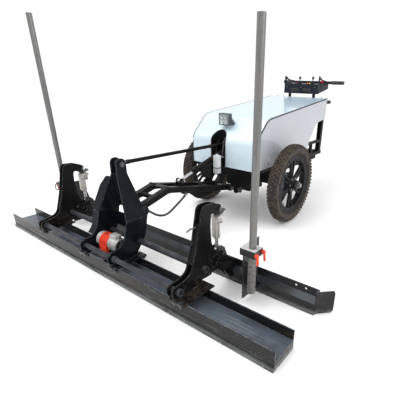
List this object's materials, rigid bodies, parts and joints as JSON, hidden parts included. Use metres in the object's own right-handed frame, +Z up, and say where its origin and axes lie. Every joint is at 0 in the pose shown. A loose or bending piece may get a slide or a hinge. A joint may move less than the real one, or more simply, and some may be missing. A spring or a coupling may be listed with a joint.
{
  "type": "power screed",
  "caption": "Walk-behind power screed: a wheeled cart whose lifting boom carries a vibrating pan, a strike-off plough and laser masts.",
  "frame": {"origin": "middle of the pan's sole, which rests on the finished slab", "axes": "+X along the screed towards the machine's right, +Y from the pan to the operator, +Z up"},
  "size_m": [2.591, 2.823, 1.53],
  "materials": {
    "black_paint": "satin to gloss black enamel, chipped and dusty",
    "pan_paint": "gloss blue-black enamel, worn by concrete",
    "hood_paint": "satin pearl white powder coat",
    "console_paint": "satin blue-black powder coat",
    "galvanised": "galvanised steel tube",
    "dull_steel": "galvanised and partly painted steel",
    "bright_steel": "zinc plated",
    "rod_chrome": "hard chrome",
    "motor_orange": "gloss orange-red enamel",
    "cast_silver": "silver painted casting",
    "actuator_silver": "bare die cast and drawn aluminium",
    "lever_red": "gloss red",
    "button_red": "gloss",
    "wheel_black": "satin black paint",
    "tyre_rubber": "matte, dusty with dry mud",
    "hose_rubber": "matte",
    "tank_plastic": "matte",
    "engine_metal": "dark cast",
    "battery_case": "matte",
    "lamp_grey": "grey powder coat",
    "knob_black": "satin"
  },
  "bodies": {
    "chassis": {"chassis_frame": "black_paint", "linkage_tower": "black_paint", "rear_frame": "black_paint", "axle_housing": "black_paint", "side_panel_left": "hood_paint", "side_panel_right": "hood_paint", "engine": "engine_metal", "hydraulic_power_unit": "engine_metal", "hydraulic_tank": "tank_plastic", "battery": "battery_case", "console_box": "console_paint", "handlebar": "black_paint", "wheel_bearings": "bright_steel", "linkage_pins": "bright_steel", "cylinder_hose": "hose_rubber"},
    "hood": {"hood_cover": "hood_paint", "lamp_bracket": "lamp_grey"},
    "lamp": {"work_lamp": "lamp_grey"},
    "wheel_left": {"rim_left": "wheel_black", "tyre_left": "tyre_rubber", "axle_shaft_left": "bright_steel"},
    "wheel_right": {"rim_right": "wheel_black", "tyre_right": "tyre_rubber", "axle_shaft_right": "bright_steel"},
    "boom": {"boom_frame": "black_paint", "boom_pins": "bright_steel", "boom_hose": "hose_rubber"},
    "top_link": {"top_link": "black_paint"},
    "lift_barrel": {"lift_barrel": "black_paint"},
    "lift_rod": {"lift_rod": "rod_chrome"},
    "head": {"centre_leg_left": "black_paint", "centre_leg_right": "black_paint", "pan": "pan_paint", "front_tube": "black_paint", "cross_tube": "black_paint", "tower_left": "black_paint", "tower_right": "black_paint", "pan_bolts": "bright_steel", "head_pins": "bright_steel", "vibrator_housing": "motor_orange", "vibrator_end_caps": "cast_silver", "vibrator_terminal_box": "cast_silver", "actuators": "actuator_silver", "head_leads": "hose_rubber"},
    "vibrator_shaft": {"vibrator_shaft": "bright_steel"},
    "actuator_rods": {"actuator_rods": "rod_chrome"},
    "lower_links": {"lower_links": "black_paint"},
    "upper_links": {"upper_links": "black_paint"},
    "plough": {"plough_beam": "black_paint", "mast_sockets": "dull_steel", "plough_pins": "bright_steel"},
    "mast_left": {"mast_left": "galvanised"},
    "mast_right": {"mast_right": "galvanised"},
    "clamp_lever_left_front": {"clamp_lever_left_front": "lever_red"},
    "clamp_lever_left_rear": {"clamp_lever_left_rear": "lever_red"},
    "clamp_lever_right_front": {"clamp_lever_right_front": "lever_red"},
    "clamp_lever_right_rear": {"clamp_lever_right_rear": "lever_red"},
    "lift_lever": {"lift_lever": "knob_black"},
    "drive_lever": {"drive_lever": "knob_black"},
    "stop_button": {"stop_button": "button_red"}
  },
  "joints": [
    {"name": "boom_lift", "type": "hinge", "parent": "chassis", "child": "boom", "pos_m": [-0.03, 1.132, 0.3], "axis": [-1, 0, 0], "range_deg": [-2, 14]},
    {"name": "head_level", "type": "hinge", "parent": "boom", "child": "head", "pos_m": [-0.03, 0.2, 0.388], "axis": [-1, 0, 0], "range_deg": [-18.49, 2.64]},
    {"name": "top_link_swing", "type": "hinge", "parent": "chassis", "child": "top_link", "pos_m": [-0.03, 1.162, 0.655], "axis": [-1, 0, 0], "range_deg": [-1.79, 12.57]},
    {"name": "cylinder_swing", "type": "hinge", "parent": "chassis", "child": "lift_barrel", "pos_m": [-0.03, 1.127, 0.585], "axis": [-1, 0, 0], "range_deg": [-1.85, 12.98]},
    {"name": "cylinder_stroke", "type": "slide", "parent": "lift_barrel", "child": "lift_rod", "axis": [0, -0.9651, -0.262], "range_m": [-0.07003, 0.01]},
    {"name": "wheel_spin_left", "type": "hinge", "parent": "chassis", "child": "wheel_left", "pos_m": [-0.465, 1.457, 0.335], "axis": [1, 0, 0], "continuous": true},
    {"name": "wheel_spin_right", "type": "hinge", "parent": "chassis", "child": "wheel_right", "pos_m": [0.465, 1.457, 0.335], "axis": [1, 0, 0], "continuous": true},
    {"name": "vibrator_spin", "type": "hinge", "parent": "head", "child": "vibrator_shaft", "pos_m": [-0.05, 0.033, 0.178], "axis": [1, 0, 0], "continuous": true},
    {"name": "plough_lift", "type": "hinge", "parent": "head", "child": "lower_links", "pos_m": [0, 0.148, 0.17], "axis": [1, 0, 0], "range_deg": [-10, 10]},
    {"name": "upper_link_swing", "type": "hinge", "parent": "head", "child": "upper_links", "pos_m": [0, 0.162, 0.238], "axis": [1, 0, 0], "range_deg": [-10.2, 10.2]},
    {"name": "plough_level", "type": "hinge", "parent": "lower_links", "child": "plough", "pos_m": [0, 0.258, 0.17], "axis": [1, 0, 0], "range_deg": [-10.2, 10.2]},
    {"name": "actuator_stroke", "type": "slide", "parent": "head", "child": "actuator_rods", "axis": [0, 0, 1], "range_m": [-0.0196, 0.0196]},
    {"name": "mast_slide_left", "type": "slide", "parent": "plough", "child": "mast_left", "axis": [0, 0, 1], "range_m": [-0.135, 0.065]},
    {"name": "mast_slide_right", "type": "slide", "parent": "plough", "child": "mast_right", "axis": [0, 0, 1], "range_m": [0, 0.2]},
    {"name": "clamp_turn_left_front", "type": "hinge", "parent": "plough", "child": "clamp_lever_left_front", "pos_m": [-1.002, 0.205, 0.342], "axis": [-1, 0, 0], "range_deg": [0, 90]},
    {"name": "clamp_turn_left_rear", "type": "hinge", "parent": "plough", "child": "clamp_lever_left_rear", "pos_m": [-1.002, 0.269, 0.342], "axis": [1, 0, 0], "range_deg": [0, 90]},
    {"name": "clamp_turn_right_front", "type": "hinge", "parent": "plough", "child": "clamp_lever_right_front", "pos_m": [0.942, 0.205, 0.342], "axis": [-1, 0, 0], "range_deg": [0, 90]},
    {"name": "clamp_turn_right_rear", "type": "hinge", "parent": "plough", "child": "clamp_lever_right_rear", "pos_m": [0.942, 0.269, 0.342], "axis": [1, 0, 0], "range_deg": [0, 90]},
    {"name": "hood_open", "type": "hinge", "parent": "chassis", "child": "hood", "pos_m": [0, 2.385, 0.976], "axis": [-1, 0, 0], "range_deg": [0, 55]},
    {"name": "lamp_tilt", "type": "hinge", "parent": "hood", "child": "lamp", "pos_m": [-0.02, 1.18, 0.85], "axis": [1, 0, 0], "range_deg": [-15, 15]},
    {"name": "lift_lever_tilt", "type": "hinge", "parent": "chassis", "child": "lift_lever", "pos_m": [-0.06, 2.5, 1.123], "axis": [1, 0, 0], "range_deg": [-18, 18], "stiffness_Nm_per_rad": 0.6},
    {"name": "drive_lever_tilt", "type": "hinge", "parent": "chassis", "child": "drive_lever", "pos_m": [0.09, 2.5, 1.123], "axis": [1, 0, 0], "range_deg": [-18, 18], "stiffness_Nm_per_rad": 0.6},
    {"name": "stop_press", "type": "slide", "parent": "chassis", "child": "stop_button", "axis": [0, 0, 1], "range_m": [-0.004, 0], "stiffness_N_per_m": 900}
  ],
  "couplings": [
    {"joint": "head_level", "follows": "boom_lift", "ratio": -1.295},
    {"joint": "top_link_swing", "follows": "boom_lift", "ratio": 0.88},
    {"joint": "cylinder_swing", "follows": "boom_lift", "ratio": 0.909},
    {"joint": "cylinder_stroke", "follows": "boom_lift", "m_per_rad": -0.281},
    {"joint": "upper_link_swing", "follows": "plough_lift", "ratio": 1},
    {"joint": "plough_level", "follows": "plough_lift", "ratio": -1},
    {"joint": "actuator_stroke", "follows": "plough_lift", "m_per_rad": 0.11}
  ]
}
